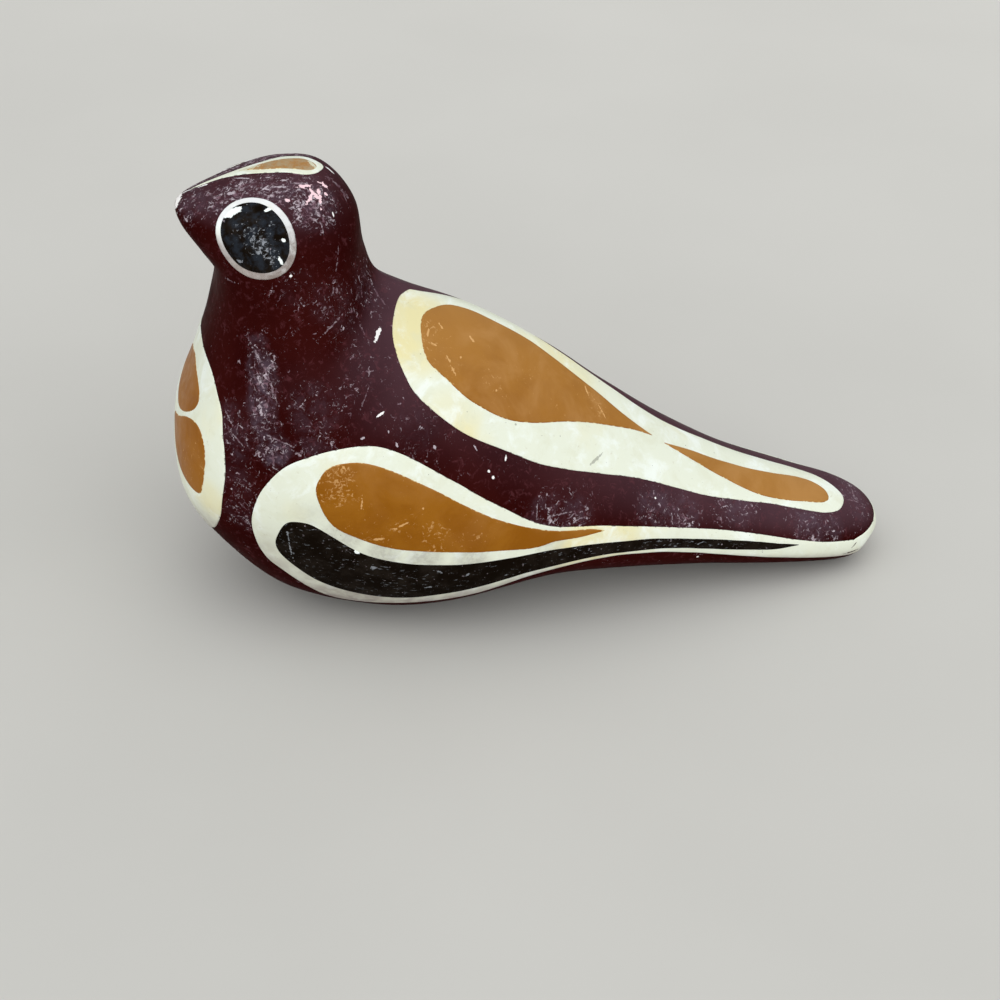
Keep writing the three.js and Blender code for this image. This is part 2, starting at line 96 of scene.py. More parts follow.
LOWER_WING = [
    [
        (16.06, 115), (15.57, 109.5), (15.1, 104.5), (14.6, 98.5), (14.16, 93.5), (13.85, 89.5),
        (13.55, 88), (13.23, 89), (13.05, 91), (12.87, 93.5), (12.57, 97), (12.4, 100), (12.28, 105.5),
        (12.16, 111), (12.03, 115), (11.83, 122), (11.68, 127), (11.4, 136), (11.19, 138), (10.87, 135.5),
        (10.45, 135), (10.23, 135.5), (10.04, 134), (9.86, 131.5), (9.42, 123.5), (9.02, 111.5),
        (8.84, 97.5), (8.95, 86.5), (9.2, 77.5), (9.51, 71), (9.94, 68), (10.7, 67), (11.37, 68),
        (11.98, 69.5), (12.65, 68), (13.6, 67.5), (14.17, 68.5), (14.7, 72.5), (15.32, 79), (16.06, 81),
    ],
    [(16.06, 81), (16.06, 115)],
]
LOWER_OCHRE = [[
    (12.7, 70.5), (12.51, 69.5), (12.27, 70.5), (12.08, 71), (11.77, 71.5), (11.39, 72), (10.5, 72),
    (9.94, 74), (9.57, 77), (9.31, 84), (9.37, 89.5), (9.48, 93), (9.77, 97), (10.05, 99.5),
    (10.18, 99.5), (10.4, 98), (10.77, 94.5), (11.03, 91), (11.48, 85.5), (11.86, 81), (12.03, 79.5),
    (12.14, 78), (12.22, 76), (12.45, 74), (12.7, 70.5),
]]
LOWER_BLACK = [[
    (15.04, 81), (14.48, 77.5), (14, 76), (13.6, 75.5), (13.25, 76), (13.05, 77.5), (12.6, 78.5),
    (12.2, 80.5), (11.95, 84), (11.6, 89.5), (11.33, 94), (11.04, 98), (10.68, 101.5), (10.3, 103),
    (10.06, 104), (9.87, 105.5), (9.71, 110), (9.71, 113), (9.8, 118), (9.93, 123), (10.1, 126),
    (10.3, 127), (10.75, 126.5), (11.18, 124.5), (11.55, 119.5), (11.75, 113), (12.02, 103),
    (12.22, 96.5), (12.34, 93.5), (12.62, 91), (13, 88), (13.38, 85), (13.58, 84), (14.1, 86),
    (14.53, 86.5), (14.72, 86), (14.88, 83), (15.04, 81),
]]
CROWN = [[
    (0.95, -22), (1.5, -15), (2.03, -11.5), (2.68, -1), (3.2, 5.5), (3.75, 9.5), (4.33, 13),
    (4.65, 10.5), (4.87, 0), (4.68, -7), (4.4, -14), (3.9, -17.5), (3.12, -17.5), (2.4, -18),
    (1.7, -19.5), (0.95, -22),
]]
CROWN_OCHRE = [[
    (2.45, -12.6), (2.72, -7.5), (3.04, -1.6), (3.39, 2.6), (3.77, 5.4), (4.14, 7.6), (4.42, 8.8),
    (4.6, 6.5), (4.65, 2.5), (4.5, -5), (4.24, -9.8), (3.85, -11.2), (3.28, -12.3), (2.85, -12.4),
    (2.45, -12.6),
]]
BREAST = [
    [
        (6.05, 180), (6.1, 172), (6.25, 159.5), (6.5, 148.5), (6.95, 138), (7.5, 129), (8.23, 125.5),
        (8.77, 129.5), (9.3, 141), (9.62, 157), (9.75, 180),
    ],
    [
        (9.75, 180), (9.62, 203), (9.3, 219), (8.77, 230.5), (8.23, 234.5), (7.5, 231), (6.95, 222),
        (6.5, 211.5), (6.25, 200.5), (6.1, 188), (6.05, 180),
    ],
]
BREAST_UPPER = [[
    (6.52, 180), (6.63, 171), (6.8, 162), (7.05, 156), (7.27, 156.5), (7.5, 166), (7.7, 180), (7.5, 194),
    (7.27, 203.5), (7.05, 204), (6.8, 198), (6.63, 189), (6.52, 180),
]]
BREAST_LOWER = [[
    (8.3, 139), (8, 139.5), (7.72, 144), (7.54, 152), (7.55, 163), (7.8, 175.5), (8.05, 183),
    (8.35, 178), (8.68, 159), (8.82, 147.5), (8.6, 142), (8.3, 139),
]]
TAIL_BAND = [
    [(15.97, 81), (16.75, 62), (17.15, 0), (16.75, -62), (15.97, -81)],
    [(15.97, -81), (15.97, -90), (15.97, -98), (15.97, -106), (15.97, -115)],
    [(15.97, -115), (16.8, -142), (17.5, 180), (16.8, 142), (15.97, 115)],
    [(15.97, 115), (15.97, 106), (15.97, 98), (15.97, 90), (15.97, 81)],
]

# The right wing's upper feather lies lower and slimmer than the left one: the degrees round that it
# closes up to, its breadth over the body and over the tail as shares of the left one's, and the sections
# between which it slims
RIGHT_ANGLE = 62
RIGHT_SHARES = (0.45, 0.26)
RIGHT_SLIMS = (12, 14)

# Oval eyes: section and degrees round of the left and right one, half length and breadth, the pale
# ring round the pupil, and the turn from level to their length
EYE_SECTION = 3.1
EYE_DEGREES = {1: 70, -1: 86}
EYE_SIZE = (8.6, 7.15)
EYE_RIM = 1.15
EYE_TURN = math.radians(148)
EYE_POINTS = 72
EYE_STEPS = (0.5, 10)  # sections and degrees to each side, for the slope of the head

# Directions that the outlines are laid onto the clay from
UPPER_FROM = (0, -0.6, 0.8)
LOWER_FROM = (0, -1, 0)
CROWN_FROM = (-0.3, 0, 1)
BREAST_FROM = (-1, 0, 0.1)
TAIL_FROM = (1, 0, 0)

# The slip coats: height of their tops over the clay, how far they reach into it, and their edges
PALE_TOP = 0.13
COLOUR_TOP = 0.22
TAIL_TOP = 0.1
EDGE_TUCK = 0.03
SLIP_ROOT = 0.25
EDGE_ROUND = 0.28
RIM_STEP = 0.4
RIM_RINGS = (0.12, 0.3)
FILL_STEP = 0.85
CORNER_SOFTNESS = 0.3
BRUSH_WANDER = 0.09  # how far the painted edge wanders
BRUSH_LENGTH = 5.0
RAY_START = 300.0
RUN_STEPS = 12  # along an outline, from one of its points to the next
RING_KEEP = 0.9  # share of its depth that a point of a rim ring keeps from the rim
INSIDE_ONLY = 1  # the triangulation keeps what lies inside the outline
WELD = 1e-5


def along(rows, u, before, after):
    """Smooth rows of values at places u, with one more row before the first and after the last."""
    padded = np.vstack([before, rows, after])
    i = np.clip(np.floor(u).astype(int), 0, len(rows) - 2)
    t = (u - i)[:, None]
    a, b, c, d = (padded[i + k] for k in range(4))
    square = 2 * a - 5 * b + 4 * c - d
    cube = 3 * (b - c) + d - a
    return b + 0.5 * t * (c - a + t * (square + t * cube))


def surface(u, degrees):
    """Points of the clay at sections u and angles round from the ridge, in millimetres."""
    u = np.atleast_1d(np.asarray(u, float))
    angle = np.radians(np.atleast_1d(np.asarray(degrees, float)))
    back, front = SECTIONS[:, 0:2], SECTIONS[:, 2:4]
    half, shape = SECTIONS[:, 4:5], SECTIONS[:, 5:8]
    back_at = along(back, u, front[1], front[-2])
    front_at = along(front, u, back[1], back[-2])
    half_at = np.maximum(along(half, u, -half[1], -half[-2]), 0)
    roof, full, low = along(shape, u, shape[0], shape[-1]).T[:, :, None]
    up = np.cos(angle)[:, None]
    side = np.sin(angle)[:, None]
    sharp = full + (roof - full) * (0.5 + 0.5 * up)
    waist = front_at + (back_at - front_at) * low
    middle = waist + (back_at - waist) * np.maximum(up, 0) + (waist - front_at) * np.minimum(up, 0)
    across = -half_at * np.sign(side) * np.abs(side) ** sharp
    return np.hstack([middle[:, 0:1], across, middle[:, 1:2]])


def outward(u, degrees, steps):
    """The way the clay faces at a section and an angle round, from points that far to each side."""
    fore, turn = steps
    ahead = surface(u + fore, degrees)[0] - surface(u - fore, degrees)[0]
    round_body = surface(u, degrees + turn)[0] - surface(u, degrees - turn)[0]
    facing = np.cross(round_body, ahead)
    return facing / np.linalg.norm(facing)


def new_piece(name, points, faces, nodes, material):
    """A smooth mesh from points in millimetres, standing for CAD nodes and riding with the bird."""
    mesh = bpy.data.meshes.new(name)
    mesh.from_pydata((points * MM).tolist(), [], faces)
    mesh.polygons.foreach_set("use_smooth", [True] * len(mesh.polygons))
    mesh.materials.append(material)
    mesh.update()
    piece = bpy.data.objects.new(name, mesh)
    bpy.context.scene.collection.objects.link(piece)
    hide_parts(*nodes)
    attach(piece, "root")
    return piece


def set_values(piece, name, values):
    """Stores one number per vertex for the materials to read."""
    attribute = piece.data.attributes.new(name, "FLOAT", "POINT")
    attribute.data.foreach_set("value", np.asarray(values, np.float32))


# Wear: zones on the left, mirrored on the right, as (section, degrees, reach, strength); on the clay they
# also place the haze with its painted sheen
ZONE_FULL = 1.4  # over 1, so that a zone keeps its full strength round its middle
SCUFFED = [
    (1.1, 42, 5, 0.8), (1.4, 25, 6, 0.8), (2.1, 32, 7, 0.95), (2.6, 22, 6, 0.95), (3.1, 26, 7, 1),
    (3.3, 16, 5, 0.9), (3.8, 29, 7, 1), (4.2, 18, 6, 0.9), (4.4, 32, 7, 1), (4.9, 32, 7, 0.95),
    (4.7, 45, 6, 0.8), (5.2, 39, 6, 0.6), (5.7, 78, 9, 0.45), (6.6, 59, 10, 0.5), (7.2, 48, 10, 0.5),
    (7.5, 26, 10, 0.55), (6.2, 111, 5, 0.6), (6.6, 108, 6, 0.8), (7.05, 105, 6, 0.85), (7.5, 104, 6, 0.8),
    (8, 102, 6.5, 0.75), (8.5, 99, 6, 0.9), (8, 117, 8, 0.6), (7.5, 125, 7, 0.6), (8.7, 121, 9, 0.5),
    (9.3, 126, 9, 0.5), (8.6, 53, 10, 0.4), (8.3, 77, 11, 0.55), (8.9, 84, 8, 0.55), (9.9, 59, 11, 0.45),
    (11.9, 66, 9, 0.6), (12.2, 64, 8, 0.6), (13.05, 57, 9, 0.65), (13.4, 59, 9, 0.65), (14, 50, 9, 0.6),
    (15.1, 61, 9, 0.65), (15.5, 66, 7, 0.6), (16.2, 15, 8, 0.55), (16.3, -33, 7, 0.5),
]
PUPIL_SCUFF = [
    (3, 72, 3.4, 0.9), (3.35, 75, 3.6, 1), (3.75, 77, 3.4, 1), (4.1, 79, 2.8, 0.8), (2.65, 65, 3, 0.6),
    (3.35, 64, 4, 0.6),
]
OCHRE_SCUFF = [
    (9.45, 84, 6, 0.9), (9.7, 88, 6, 0.8), (10, 87, 6, 0.7), (10.35, 92, 6, 0.8), (10.6, 94, 6, 0.9),
    (10.65, 86, 6, 0.7), (11, 84, 7, 0.7), (11.4, 80, 7, 0.7), (9.3, 27, 5, 0.9), (9.55, 33, 6, 0.9),
    (9.9, 37.5, 5, 0.8), (10.5, 37, 6, 0.6), (11.6, 18, 6, 0.6), (11.9, 24, 5, 0.7), (8.3, 150, 8, 0.6),
]
WARM_SLIP = [
    (9, 30, 17, 1), (10.2, 52, 12, 0.6), (12.7, 74, 16, 0.8), (9.2, 80, 8, 0.4), (7.2, 140, 9, 0.2),
    (11.3, 8, 16, 0.7), (8.9, 141, 9, 0.65),
]
# Zones where the pale slip is darker and mottled, as (section, degrees, reach, strength)
DARK_PATCH_ZONES = [
    (10.3, 101, 6, 0.38), (10.8, 98, 5, 0.46), (11.2, 93, 5, 0.46), (11.6, 88, 5, 0.42),
    (9.8, 102, 5, 0.15), (12.2, 77, 5, 0.25), (11.2, 130, 8, 0.3), (2.9, 109, 4.5, 0.5),
    (3.6, 106, 5, 0.7), (4.25, 94.5, 6, 0.95), (4.75, 83, 6.5, 1), (4.8, 72, 6, 0.95),
    (4.55, 63, 5, 0.5), (4.15, 54, 4, 0.25),
]


def zone_strength(points, zones):
    """The strongest zone at each point, fading to the zone's reach."""
    strength = np.zeros(len(points))
    for section, degrees, reach, top in zones:
        for side in (1, -1):
            middle = surface(section, side * degrees)
            far = np.linalg.norm(points - middle, axis=1) / reach
            near = np.clip(ZONE_FULL * (1 - far), 0, 1)
            strength = np.maximum(strength, top * near * near * (3 - 2 * near))
    return strength


def unevenness(points):
    """A slow wander between -1 and 1 over space."""
    return np.array([noise.noise(Vector(p) / LUMP_LENGTH) for p in points])


def make_body(material):
    """The clay skin over both halves and their seam, flattened where it stands."""
    u = np.arange(1, LAST * RINGS_PER_SECTION) / RINGS_PER_SECTION
    turn = np.arange(SIDES) * 360 / SIDES
    grid_u, grid_turn = np.meshgrid(u, turn, indexing="ij")
    rings = surface(grid_u.ravel(), grid_turn.ravel())
    points = np.vstack([surface(0, 0), rings, surface(LAST, 0)])
    end = len(points) - 1
    faces = []
    for j in range(SIDES):
        k = (j + 1) % SIDES
        faces.append((0, 1 + k, 1 + j))
        faces.append((end, end - SIDES + j, end - SIDES + k))
        for i in range(len(u) - 1):
            first, second = 1 + i * SIDES, 1 + (i + 1) * SIDES
            faces.append((first + j, first + k, second + k, second + j))
    nodes = ("body_left_half", "body_right_half", "luting_seam")
    body = new_piece("body_skin", points, faces, nodes, material)
    normals = np.zeros(len(points) * 3)
    body.data.vertices.foreach_get("normal", normals)
    points += normals.reshape(-1, 3) * (LUMP * unevenness(points))[:, None]
    points[:, 2] = 0.5 * (points[:, 2] + np.sqrt(points[:, 2] ** 2 + FOOT_EASE ** 2))
    body.data.vertices.foreach_set("co", (points * MM).ravel())
    body.data.update()
    set_values(body, "wear", zone_strength(points, SCUFFED))
    tree = BVHTree.FromPolygons([Vector(p) for p in points], faces)
    return body, tree


def smooth_run(points, steps):
    """Centripetal curve through a run of flat points, without its last point."""
    padded = np.vstack([2 * points[0] - points[1], points, 2 * points[-1] - points[-2]])
    t = (np.arange(steps) / steps)[:, None]
    out = []
    for a, b, c, d in zip(padded, padded[1:], padded[2:], padded[3:]):
        gaps = (np.linalg.norm(q - p) for p, q in ((a, b), (b, c), (c, d)))
        before, here, after = (max(gap, 1e-6) ** 0.5 for gap in gaps)
        leave = here * ((b - a) / before - (c - a) / (before + here) + (c - b) / here)
        reach = here * ((c - b) / here - (d - b) / (here + after) + (d - c) / after)
        out.append(b + t * leave + t ** 2 * (3 * (c - b) - 2 * leave - reach)
                   + t ** 3 * (2 * (b - c) + leave + reach))
    return np.vstack(out)


def even_loop(loop, step):
    """A closed line of flat points at an even spacing."""
    closed = np.vstack([loop, loop[:1]])
    length = np.concatenate([[0], np.cumsum(np.linalg.norm(np.diff(closed, axis=0), axis=1))])
    count = int(round(length[-1] / step))
    places = np.arange(count) * length[-1] / count
    return np.column_stack([np.interp(places, length, closed[:, k]) for k in range(2)])


def loop_normals(loop):
    """Flat inward normals of an anticlockwise loop."""
    tangent = np.roll(loop, -1, axis=0) - np.roll(loop, 1, axis=0)
    tangent /= np.linalg.norm(tangent, axis=1)[:, None]
    return np.column_stack([-tangent[:, 1], tangent[:, 0]])


def painted_loop(loop, seed):
    """The outline with softened corners and the slight wander of a brush."""
    spread = max(1, int(round(3 * CORNER_SOFTNESS / RIM_STEP)))
    offsets = np.arange(-spread, spread + 1)
    weights = np.exp(-0.5 * (offsets * RIM_STEP / CORNER_SOFTNESS) ** 2)
    weights /= weights.sum()
    soft = sum(w * np.roll(loop, -k, axis=0) for w, k in zip(weights, offsets))
    places = np.column_stack([soft / BRUSH_LENGTH, np.full(len(soft), seed)])
    wander = np.array([noise.noise(Vector(p)) for p in places])
    return soft + loop_normals(soft) * (BRUSH_WANDER * wander)[:, None]


def rim_distance(points, loop):
    """Distance of flat points from a closed line."""
    start, step = loop, np.roll(loop, -1, axis=0) - loop
    size = (step ** 2).sum(1)
    nearest = np.full(len(points), np.inf)
    for p, s, l in zip(start, step, size):
        t = np.clip(((points - p) @ s) / l, 0, 1)
        nearest = np.minimum(nearest, np.linalg.norm(points - p - t[:, None] * s, axis=1))
    return nearest


def inside_loop(points, loop):
    """Which flat points lie inside a closed line."""
    x, y = points.T
    inside = np.zeros(len(points), bool)
    for (ax, ay), (bx, by) in zip(loop, np.roll(loop, -1, axis=0)):
        if ay != by:
            crosses = ((ay > y) != (by > y)) & (x < (bx - ax) * (y - ay) / (by - ay) + ax)
            inside ^= crosses
    return inside


def fill_points(loop):
    """Flat points that fill a loop: rings along its rim and an even spread inside."""
    inward = loop_normals(loop)
    rings = [(loop + inward * depth, depth) for depth in RIM_RINGS]
    low, high = loop.min(0), loop.max(0)
    rise = FILL_STEP * math.sqrt(3) / 2
    rows = np.arange(low[1], high[1], rise)
    spread = [(x + (i % 2) * FILL_STEP / 2, y) for i, y in enumerate(rows)
              for x in np.arange(low[0], high[0], FILL_STEP)]
    rings.append((np.array(spread), RIM_RINGS[-1] + 0.5 * FILL_STEP))
    kept = []
    for points, depth in rings:
        points = points[inside_loop(points, loop)]
        kept.append(points[rim_distance(points, loop) > RING_KEEP * depth])
    return np.vstack(kept)


def lay_slip(tree, name, node, runs, direction, base, top, material, seed):
    """A thin coat of slip with rounded edges, laid onto the clay inside an outline."""
    toward = np.array(direction, float)
    toward /= np.linalg.norm(toward)
    across = np.array([-toward[1], toward[0], 0])
    across /= np.linalg.norm(across)
    over = np.cross(toward, across)
    plane = np.column_stack([across, over])
    loop = np.vstack([smooth_run(run @ plane, RUN_STEPS) for run in runs])
    turning = np.roll(loop, -1, axis=0)
    if (loop[:, 0] * turning[:, 1] - loop[:, 1] * turning[:, 0]).sum() < 0:
        loop = loop[::-1]
    loop = painted_loop(even_loop(loop, RIM_STEP), seed)
    flat = np.vstack([loop, fill_points(loop)])
    edges = [(i, (i + 1) % len(loop)) for i in range(len(loop))]
    corners = [Vector(p) for p in flat]
    flat, _, triangles, *_ = delaunay_2d_cdt(corners, edges, [], INSIDE_ONLY, WELD)
    flat = np.array([tuple(p) for p in flat])
    rim = rim_distance(flat, loop)
    clay, facing = [], []
    for x, y in flat:
        start = Vector(across * x + over * y + toward * RAY_START)
        hit, normal, *_ = tree.ray_cast(start, Vector(-toward))
        clay.append(hit)
        facing.append(normal)
    clay, facing = np.array(clay), np.array(facing)
    swell = np.sqrt(1 - (1 - np.clip(rim / EDGE_ROUND, 0, 1)) ** 2)
    height = base - EDGE_TUCK + (top - base + EDGE_TUCK) * swell
    points = np.vstack([clay + facing * height[:, None], clay - facing * SLIP_ROOT])
    count = len(flat)
    faces = [tuple(t) for t in triangles]
    sides = {(t[k], t[(k + 1) % 3]) for t in faces for k in range(3)}
    walls = [(b, a, a + count, b + count) for a, b in sorted(sides) if (b, a) not in sides]
    roots = [tuple(i + count for i in reversed(t)) for t in faces]
    piece = new_piece(name, points, faces + roots + walls, [node], material)
    set_values(piece, "rim", np.concatenate([rim, np.zeros(count)]))
    zones = PUPIL_SCUFF if "pupil" in name else OCHRE_SCUFF if "ochre" in name else SCUFFED
    set_values(piece, "wear", zone_strength(points, zones))
    set_values(piece, "warm", zone_strength(points, WARM_SLIP))
    set_values(piece, "dark_patch", zone_strength(points, DARK_PATCH_ZONES))
    return piece


def outline_points(runs, side):
    """An outline's points on the clay, on the left for side 1 and mirrored for side -1."""
    return [surface([u for u, _ in run], [side * degrees for _, degrees in run]) for run in runs]


def slimmer(runs):
    """Runs of an upper feather with the breadth that the right wing has, still on the left."""
    slim = []
    for run in runs:
        shares = np.interp([u for u, _ in run], RIGHT_SLIMS, RIGHT_SHARES)
        slim.append([(u, RIGHT_ANGLE - (RIGHT_ANGLE - degrees) * share)
                     for (u, degrees), share in zip(run, shares)])
    return slim


def eye_outline(inset, side):
    """An oval that faces straight out of the head, and the way it faces."""
    u, degrees = EYE_SECTION, EYE_DEGREES[side]
    middle = surface(u, degrees)[0]
    facing = outward(u, degrees, EYE_STEPS)
    across = np.array([-facing[1], facing[0], 0])
    across /= np.linalg.norm(across)
    over = np.cross(facing, across)
    length = across * math.cos(EYE_TURN) + over * math.sin(EYE_TURN)
    breadth = over * math.cos(EYE_TURN) - across * math.sin(EYE_TURN)
    turn = np.linspace(0, 2 * math.pi, EYE_POINTS + 1)[:, None]
    half_length, half_breadth = (size - inset for size in EYE_SIZE)
    oval = middle + half_length * np.cos(turn) * length + half_breadth * np.sin(turn) * breadth
    mirror = np.array([1, side, 1])
    return [oval * mirror], facing * mirror


# Colours, as seen on screen
MAROON = (50, 12, 10)
MAROON_DEEP = (42, 7, 6)
RED_FLECK = (114, 64, 70)
SCUFF = (206, 192, 198)
SCUFF_DIM = (128, 98, 108)
HAZE_AND_SHEEN = (116, 106, 122)
DUST_AND_SHEEN = (106, 82, 92)
CHIP = (240, 236, 232)
PINK = (238, 204, 208)
CREAM = (224, 227, 208)
CREAM_WARM = (227, 217, 166)
CREAM_LIGHT = (240, 245, 240)
CREAM_DULL = (211, 211, 184)
CREAM_STAIN = (186, 178, 150)
EYE_WHITE = (226, 225, 224)
GRIME_AND_SHADE = (152, 139, 133)
DARK_PATCH = (122, 110, 103)
OCHRE = (147, 91, 15)
OCHRE_DEEP = (136, 80, 3)
OCHRE_PALE_SHEEN = (166, 116, 62)
OCHRE_LIT = (186, 138, 76)
OCHRE_FLECK = (224, 176, 116)
OCHRE_SHEEN = (166, 148, 116)
BLACK = (17, 11, 6)
BLACK_GREY = (32, 26, 21)
BLACK_SCUFF = (176, 180, 186)
PUPIL_HAZE = (42, 48, 56)
SMUDGE = (150, 150, 136)
FLOOR = (200, 197, 190)
FLOOR_SHADE = (197, 194, 187)


def linear(colour):
    """A shader colour from one as seen on screen."""
    parts = [c / 255 for c in colour]
    return tuple(p / 12.92 if p < 0.04045 else ((p + 0.055) / 1.055) ** 2.4 for p in parts) + (1.0,)


class Finish:
    """A material being built from nodes, with positions in millimetres."""

    def __init__(self, name):
        self.material = bpy.data.materials.new(name)
        self.material.use_nodes = True
        self.nodes = self.material.node_tree.nodes
        self.links = self.material.node_tree.links
        self.shader = self.nodes["Principled BSDF"]
        place = self.add("ShaderNodeTexCoord").outputs["Object"]
        scaled = self.add("ShaderNodeVectorMath", {0: place, "Scale": 1 / MM}, operation="SCALE")
        self.place = scaled.outputs[0]

    def add(self, kind, inputs=None, **settings):
        node = self.nodes.new(kind)
        for key, value in settings.items():
            setattr(node, key, value)
        for key, value in (inputs or {}).items():
            self.feed(node.inputs[key], value)
        return node

    def feed(self, socket, value):
        if isinstance(value, bpy.types.NodeSocket):
            self.links.new(value, socket)
        else:
            socket.default_value = value

    def stretched(self, stretch, shift=(0, 0, 0)):
        mapping = {"Vector": self.place, "Scale": stretch, "Location": shift}
        return self.add("ShaderNodeMapping", mapping).outputs[0]

    def shifted(self, *shift):
        return self.stretched((1, 1, 1), shift)

    def noise(self, scale, detail=2.0, roughness=0.5, place=None, distortion=0.0):
        inputs = {"Vector": place or self.place, "Scale": scale, "Detail": detail}
        inputs.update({"Roughness": roughness, "Distortion": distortion})
        return self.add("ShaderNodeTexNoise", inputs).outputs["Fac"]

    def math(self, operation, first, second=0.0):
        return self.add("ShaderNodeMath", {0: first, 1: second}, operation=operation).outputs[0]

    def ramp(self, value, low, high, to_low=0.0, to_high=1.0):
        inputs = {"Value": value, "From Min": low, "From Max": high, "To Min": to_low, "To Max": to_high}
        return self.add("ShaderNodeMapRange", inputs, interpolation_type="SMOOTHSTEP").outputs[0]

    def mix(self, share, first, second):
        colours = [linear(c) if isinstance(c, tuple) else c for c in (first, second)]
        inputs = {0: share, 6: colours[0], 7: colours[1]}
        return self.add("ShaderNodeMix", inputs, data_type="RGBA").outputs[2]

    def lay(self, under, over, where, strength=1.0):
        """A colour laid over another where a field says, at a strength."""
        return self.mix(self.math("MULTIPLY", where, strength), under, over)

    def lowered(self, start, field, gain):
        """A start that a field lowers."""
        return self.math("SUBTRACT", start, self.math("MULTIPLY", field, gain))

    def facing_up(self):
        """How far the surface faces up, from -1 to 1."""
        normal = self.add("ShaderNodeNewGeometry").outputs["Normal"]
        return self.add("ShaderNodeSeparateXYZ", {0: normal}).outputs["Z"]

    def value(self, name):
        return self.add("ShaderNodeAttribute", attribute_name=name).outputs["Fac"]

    def flecks(self, field, start, softness=0.05):
        """Where a field rises over a start, which may itself vary."""
        return self.ramp(field, start, self.math("ADD", start, softness))

    def marks(self, marks, ragged=0.4):
        """Ragged strokes from one (section, degrees) to another, with a half width."""
        nearest = 1000.0
        for section, degrees, to_section, to_degrees, half_width in marks:
            start, end = surface([section, to_section], [degrees, to_degrees])
            stroke = Vector(end - start)
            middle = ((section + to_section) / 2, (degrees + to_degrees) / 2)
            facing = Vector(outward(*middle, MARK_STEPS))
            ahead = stroke.normalized() if stroke.length else facing.orthogonal().normalized()
            across = facing.cross(ahead).normalized()
            turn = Matrix((ahead, across, ahead.cross(across))).transposed().to_euler()
            depth = max(MARK_DEPTH, 2 * half_width)
            reach = (half_width + 0.5 * stroke.length, half_width, depth)
            inputs = {"Vector": self.place, "Location": tuple((start + end) / 2)}
            inputs.update({"Rotation": turn, "Scale": reach})
            local = self.add("ShaderNodeMapping", inputs, vector_type="TEXTURE").outputs[0]
            far = self.add("ShaderNodeVectorMath", {0: local}, operation="LENGTH").outputs["Value"]
            nearest = self.math("MINIMUM", nearest, far)
        edge = self.math("SUBTRACT", self.noise(1.5, 3.0, 0.6), 0.5)
        wavy = self.math("ADD", nearest, self.math("MULTIPLY", edge, 4 * ragged))
        return self.ramp(wavy, *MARK_EDGE)

    def surface(self, colour, roughness, bump, depth, gloss, ior=1.5):
        self.feed(self.shader.inputs["Base Color"], colour)
        self.feed(self.shader.inputs["Roughness"], roughness)
        self.feed(self.shader.inputs["Specular IOR Level"], gloss)
        self.feed(self.shader.inputs["IOR"], ior)
        relief = self.add("ShaderNodeBump", {"Height": bump, "Strength": 1.0, "Distance": depth * MM})
        self.links.new(relief.outputs[0], self.shader.inputs["Normal"])
        return self.material


# Marks on the left as (section, degrees, to section, to degrees, half width)
CHIPS = [
    (8.45, 36, 8.47, 41, 0.42), (9.3, 62, 9.33, 60, 0.24), (10.98, 60, 10.98, 60, 0.3),
    (11.07, 61, 11.07, 61, 0.32), (5.2, 79.5, 5.2, 79.5, 0.3), (5.35, 34, 5.4, 35, 0.2),
    (11.05, 54, 11.07, 55, 0.22), (13.96, 96.5, 13.96, 96.5, 0.28), (12.98, 52, 12.98, 52, 0.2),
    (4.95, -1, 5.17, 2, 0.32),
]
PALE_FLECKS = [
    (9.8, 66, 9.83, 66.5, 0.26), (9.34, 70.5, 9.36, 70, 0.2), (10.66, 55.5, 10.69, 56, 0.22),
    (10.24, 61, 10.27, 61.5, 0.22), (9.58, 64, 9.6, 64.5, 0.2), (7.49, 51, 7.51, 51.5, 0.2),
    (8.79, 125, 8.79, 125, 0.2), (3.48, 24, 3.75, 24.5, 0.22), (3.62, 17.5, 3.75, 18, 0.22),
    (3.05, 25.5, 3.2, 22, 0.22), (3.11, 23.5, 3.29, 26.5, 0.2), (2.21, 23, 2.31, 23, 0.36),
    (2.4, 0, 2.69, 7, 0.21),
]
BEAK_CHIPS = [(0.3, 50, 0.8, -32, 0.8), (0.9, -30, 1.2, -18, 0.25), (1.48, -11, 1.68, -10, 0.25)]
PINK_CHIPS = [
    (4.72, 30.5, 4.72, 30.5, 0.6), (4.75, 25, 4.93, 35, 0.36), (4.62, 28.5, 4.51, 37, 0.32),
    (4.52, 26.5, 4.73, 31, 0.29), (4.21, 24, 4.4, 23, 0.46), (4.85, 19, 4.96, 21, 0.46),
    (4.7, 19, 4.85, 19.5, 0.21), (5, 26, 5, 26, 0.34), (3.88, 36.5, 3.88, 36.5, 0.42),
]
SCRATCHES = [
    (8.1, 102, 8.62, 90, 0.13), (8.45, 99.5, 8.71, 101, 0.19), (8.54, 103.5, 8.63, 96.5, 0.19),
    (7.8, 125.5, 7.78, 121.5, 0.13), (7.78, 121.5, 8.12, 114.5, 0.13), (7.33, 128, 7.64, 121.5, 0.15),
    (7.05, 66, 7.14, 54.5, 0.13), (7.99, 41.5, 8.32, 43, 0.15), (7.92, 20.5, 8.27, 23.5, 0.19),
    (8.62, 53, 8.75, 51, 0.13), (8.65, 51, 8.73, 53, 0.13), (8.89, 58, 8.97, 62.5, 0.13),
    (16.27, -6, 16.25, 18.5, 0.15), (15.96, 28, 16.33, 27, 0.13), (11.74, 64.5, 11.8, 67, 0.13),
    (11.95, 66, 12.13, 63, 0.13), (12.24, 67, 12.3, 64.5, 0.15), (12.15, 66, 12.18, 63.5, 0.13),
    (5.85, 43.5, 6.23, 52, 0.12), (5.08, 12, 5.56, 13, 0.32), (5.31, 10.5, 5.67, 18, 0.2),
    (3.22, 133, 3.55, 121, 0.14), (6.1, 116, 6.73, 105, 0.2), (6.73, 105, 7.37, 97, 0.2),
]
